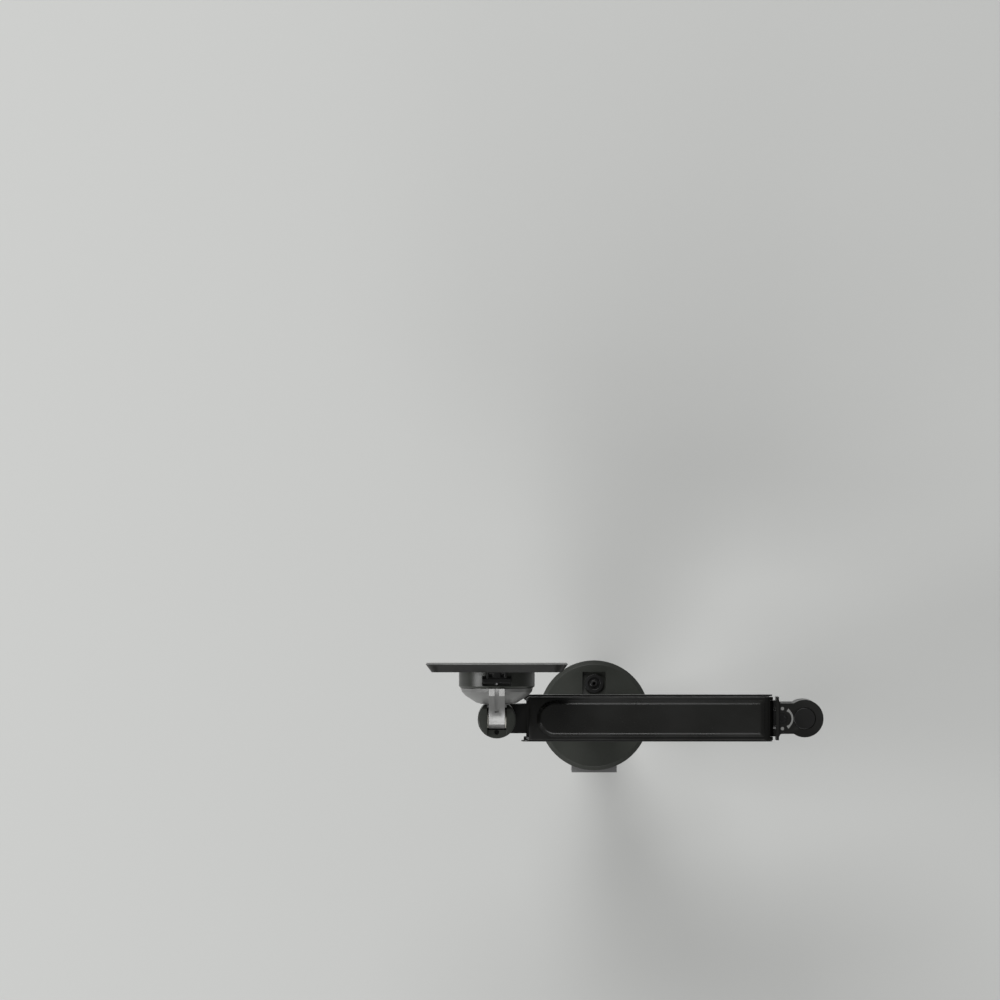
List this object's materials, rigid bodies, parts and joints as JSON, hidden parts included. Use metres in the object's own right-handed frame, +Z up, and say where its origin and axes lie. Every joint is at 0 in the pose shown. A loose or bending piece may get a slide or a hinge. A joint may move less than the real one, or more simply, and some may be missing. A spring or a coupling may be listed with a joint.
{
  "type": "monitor arm",
  "caption": "Desk-clamped monitor arm with a swivelling lower link, a gas-sprung parallelogram upper link and a head that pans, tilts and turns a square screen plate.",
  "frame": {"origin": "centre of the base disc, on the desk top that the base pad rests on", "axes": "+Z up; the screen plate faces -Y; at rest the arm is folded, with its lower link running from the base towards -X and its upper link back above it towards +X; the clamp's back plate is on the +Y side, past the desk's rear edge"},
  "size_m": [0.338, 0.0968, 0.388],
  "materials": {
    "black_paint": "satin black powder coat, fine texture",
    "grey_paint": "satin dark grey powder coat",
    "clamp_silver": "satin silver paint",
    "cast_silver": "polished die-cast aluminium",
    "steel": "zinc-plated machined steel",
    "dark_steel": "black oxide steel",
    "bronze": "sintered bronze",
    "nylon": "natural nylon",
    "black_plastic": "moulded black plastic",
    "cover_plastic": "moulded charcoal plastic",
    "rubber": "black rubber"
  },
  "bodies": {
    "base": {"base_pad": "rubber", "clamp_bracket": "clamp_silver", "base_disc": "grey_paint", "base_screw_washer": "dark_steel", "base_screw": "dark_steel", "post": "black_paint", "post_bolt": "dark_steel", "post_retaining_washer": "steel", "post_top_screw": "steel", "lower_jaw": "black_paint", "jaw_screw_left": "dark_steel", "jaw_screw_right": "dark_steel"},
    "clamp_slider": {"clamp_shoe": "steel", "clamp_pad": "rubber"},
    "clamp_turner": {"clamp_spindle": "steel", "clamp_wheel": "black_plastic"},
    "lower_arm_body": {"base_thrust_washer": "nylon", "base_bush_lower": "bronze", "base_bush_upper": "bronze", "lower_arm": "black_paint", "lower_cable_cover": "cover_plastic", "base_barrel_cap": "black_plastic", "elbow_bush_lower": "bronze", "elbow_bush_upper": "bronze", "elbow_bottom_cap": "black_plastic", "elbow_thrust_washer": "nylon"},
    "elbow_body": {"elbow_knuckle": "black_paint", "elbow_spindle": "steel", "elbow_bolt": "dark_steel", "elbow_top_cap": "black_plastic", "rear_pin_upper": "dark_steel", "rear_pin_lower": "dark_steel"},
    "tension_turner": {"tension_screw": "dark_steel"},
    "tension_slider": {"tension_nut": "dark_steel"},
    "beam_body": {"upper_beam": "black_paint", "top_cover": "cover_plastic", "spring_front_pin": "dark_steel"},
    "spring_tube_body": {"gas_spring_cylinder": "black_paint"},
    "spring_rod_body": {"gas_spring_rod": "steel", "spring_cross_pin": "dark_steel"},
    "link_body": {"lower_link": "black_paint"},
    "knuckle_body": {"front_knuckle": "black_paint", "front_pin_upper": "dark_steel", "front_pin_lower": "dark_steel", "pan_bush": "bronze"},
    "pan_body": {"pan_head": "grey_paint", "pan_spindle": "steel", "pan_washer": "steel", "pan_nut": "steel", "tilt_bolt": "dark_steel", "tilt_nut": "dark_steel", "tilt_washer_left": "nylon", "tilt_washer_right": "nylon"},
    "tilt_body": {"tilt_bracket": "cast_silver", "rotation_washer": "nylon"},
    "screen_body": {"hub_housing": "grey_paint", "rotation_bolt": "dark_steel", "vesa_plate": "black_paint", "latch_spring": "steel"},
    "latch_body": {"vesa_latch": "black_plastic"}
  },
  "joints": [
    {"name": "clamp_travel", "type": "slide", "parent": "base", "child": "clamp_slider", "axis": [0, 0, 1], "range_m": [-0.025, 0.015]},
    {"name": "clamp_turn", "type": "hinge", "parent": "clamp_slider", "child": "clamp_turner", "pos_m": [0, 0.008, -0.07], "axis": [0, 0, 1], "range_deg": [-6010, 3610]},
    {"name": "base_swivel", "type": "hinge", "parent": "base", "child": "lower_arm_body", "pos_m": [0, 0, 0.058], "axis": [0, 0, 1], "range_deg": [-180, 180]},
    {"name": "elbow_swivel", "type": "hinge", "parent": "lower_arm_body", "child": "elbow_body", "pos_m": [-0.178, 0, 0.095], "axis": [0, 0, 1], "range_deg": [-180, 180]},
    {"name": "tension_turn", "type": "hinge", "parent": "elbow_body", "child": "tension_turner", "pos_m": [-0.159, 0, 0.15], "axis": [0, 0, 1], "range_deg": [-808, 808]},
    {"name": "tension_travel", "type": "slide", "parent": "elbow_body", "child": "tension_slider", "axis": [0, 0, 1], "range_m": [-0.0028, 0.0028]},
    {"name": "arm_lift", "type": "hinge", "parent": "elbow_body", "child": "beam_body", "pos_m": [-0.142, 0, 0.162], "axis": [0, -1, 0], "range_deg": [-10, 45]},
    {"name": "spring_swing", "type": "hinge", "parent": "beam_body", "child": "spring_tube_body", "pos_m": [0.008, 0, 0.159], "axis": [0, -1, 0], "range_deg": [-2.2, 0.6]},
    {"name": "spring_stroke", "type": "slide", "parent": "spring_tube_body", "child": "spring_rod_body", "axis": [-0.9976, 0, -0.0687], "range_m": [-0.0022, 0.0092]},
    {"name": "link_swing", "type": "hinge", "parent": "elbow_body", "child": "link_body", "pos_m": [-0.142, 0, 0.135], "axis": [0, -1, 0], "range_deg": [-10.1, 45.1]},
    {"name": "knuckle_level", "type": "hinge", "parent": "beam_body", "child": "knuckle_body", "pos_m": [0.048, 0, 0.162], "axis": [0, -1, 0], "range_deg": [-45.1, 10.1]},
    {"name": "head_pan", "type": "hinge", "parent": "knuckle_body", "child": "pan_body", "pos_m": [0.084, 0, 0.171], "axis": [0, 0, 1], "range_deg": [0, 180]},
    {"name": "head_tilt", "type": "hinge", "parent": "pan_body", "child": "tilt_body", "pos_m": [0.084, 0, 0.207], "axis": [-1, 0, 0], "range_deg": [-15, 80]},
    {"name": "screen_turn", "type": "hinge", "parent": "tilt_body", "child": "screen_body", "pos_m": [0.084, 0, 0.207], "axis": [0, -1, 0], "range_deg": [-180, 180]},
    {"name": "latch_slide", "type": "slide", "parent": "screen_body", "child": "latch_body", "axis": [0, 1, 0], "range_m": [0, 0.002], "stiffness_N_per_m": 600, "springref_m": -0.001}
  ],
  "couplings": [
    {"joint": "clamp_turn", "follows": "clamp_travel", "rad_per_m": 4188.8},
    {"joint": "tension_turn", "follows": "tension_travel", "rad_per_m": -5026.5},
    {"joint": "link_swing", "follows": "arm_lift", "ratio": 1},
    {"joint": "knuckle_level", "follows": "arm_lift", "ratio": -1},
    {"joint": "spring_swing", "follows": "arm_lift", "ratio": -0.044},
    {"joint": "spring_stroke", "follows": "arm_lift", "m_per_rad": 0.0114}
  ]
}
